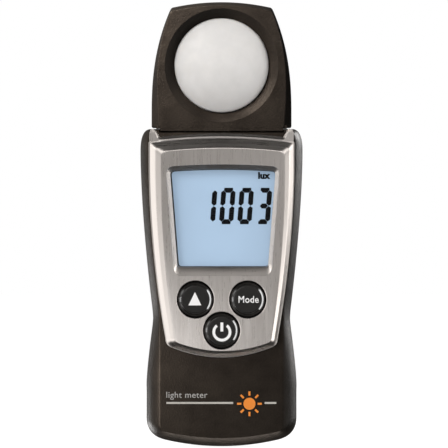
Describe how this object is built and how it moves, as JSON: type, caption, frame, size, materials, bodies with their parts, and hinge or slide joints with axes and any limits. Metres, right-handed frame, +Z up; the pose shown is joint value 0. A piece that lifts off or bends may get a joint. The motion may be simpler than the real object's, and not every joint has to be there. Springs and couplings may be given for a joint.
{
  "type": "handheld light meter",
  "caption": "Handheld light meter: waisted housing with a brushed bezel, display and press keys, a sensor head with a white diffuser dome, and a sliding battery door.",
  "frame": {"origin": "middle of the bounding box in X and Y, at the lowest point of the housing", "axes": "+X to the user's right, +Z up to the sensor head, display facing -Y"},
  "size_m": [0.046, 0.024, 0.1259],
  "materials": {
    "dark_shell": "matte, fine texture",
    "brushed_bezel": "brushed along Z, chamfered edges",
    "clear_lens": "clear, polished",
    "lcd": "pale blue reflective display",
    "key_black": "gloss",
    "opal": "translucent opal white",
    "white_plastic": "satin",
    "board_green": "solder-masked board",
    "chip_black": "moulded",
    "spring_steel": "plated",
    "rubber": "soft",
    "cell_wrap": "printed shrink wrap, plain",
    "filter_green": "polished coloured glass",
    "label_silver": "satin foil label, blank",
    "cable_amber": "polyimide film",
    "lead_red": "insulated wire"
  },
  "bodies": {
    "housing": {"front_case": "dark_shell", "rear_case": "dark_shell", "bezel": "brushed_bezel", "display_lens": "clear_lens", "lcd_glass": "lcd", "backlight_panel": "white_plastic", "zebra_strip": "rubber", "lcd_frame": "white_plastic", "main_board": "board_green", "microcontroller": "chip_black", "crystal": "spring_steel", "capacitor": "spring_steel", "sensor_socket": "white_plastic", "left_cell": "cell_wrap", "right_cell": "cell_wrap", "lower_contact_spring": "spring_steel", "upper_contact_spring": "spring_steel", "lower_contact_bridge": "spring_steel", "positive_contact": "spring_steel", "negative_contact": "spring_steel", "positive_lead": "lead_red", "negative_lead": "chip_black", "upper_left_screw": "spring_steel", "upper_right_screw": "spring_steel", "lower_left_screw": "spring_steel", "lower_right_screw": "spring_steel", "rear_label": "label_silver", "head_front_shell": "dark_shell", "head_rear_shell": "dark_shell", "diffuser_dome": "opal", "dome_retaining_ring": "chip_black", "filter_holder": "chip_black", "colour_filter": "filter_green", "photodiode": "spring_steel", "sensor_board": "board_green", "sensor_flat_cable": "cable_amber", "up_switch_body": "chip_black", "mode_switch_body": "chip_black", "power_switch_body": "chip_black"},
    "battery_cover": {"battery_door": "dark_shell"},
    "up_key": {"up_key_cap": "key_black", "up_switch_plunger": "white_plastic"},
    "mode_key": {"mode_key_cap": "key_black", "mode_switch_plunger": "white_plastic"},
    "power_key": {"power_key_cap": "key_black", "power_switch_plunger": "white_plastic"}
  },
  "joints": [
    {"name": "up_key_press", "type": "slide", "parent": "housing", "child": "up_key", "axis": [0, 1, 0], "range_m": [0, 0.0008], "stiffness_N_per_m": 1500, "springref_m": -0.0002},
    {"name": "mode_key_press", "type": "slide", "parent": "housing", "child": "mode_key", "axis": [0, 1, 0], "range_m": [0, 0.0008], "stiffness_N_per_m": 1500, "springref_m": -0.0002},
    {"name": "power_key_press", "type": "slide", "parent": "housing", "child": "power_key", "axis": [0, 1, 0], "range_m": [0, 0.0008], "stiffness_N_per_m": 1500, "springref_m": -0.0002},
    {"name": "battery_door_slide", "type": "slide", "parent": "housing", "child": "battery_cover", "axis": [0, 0, -1], "range_m": [0, 0.05]}
  ]
}
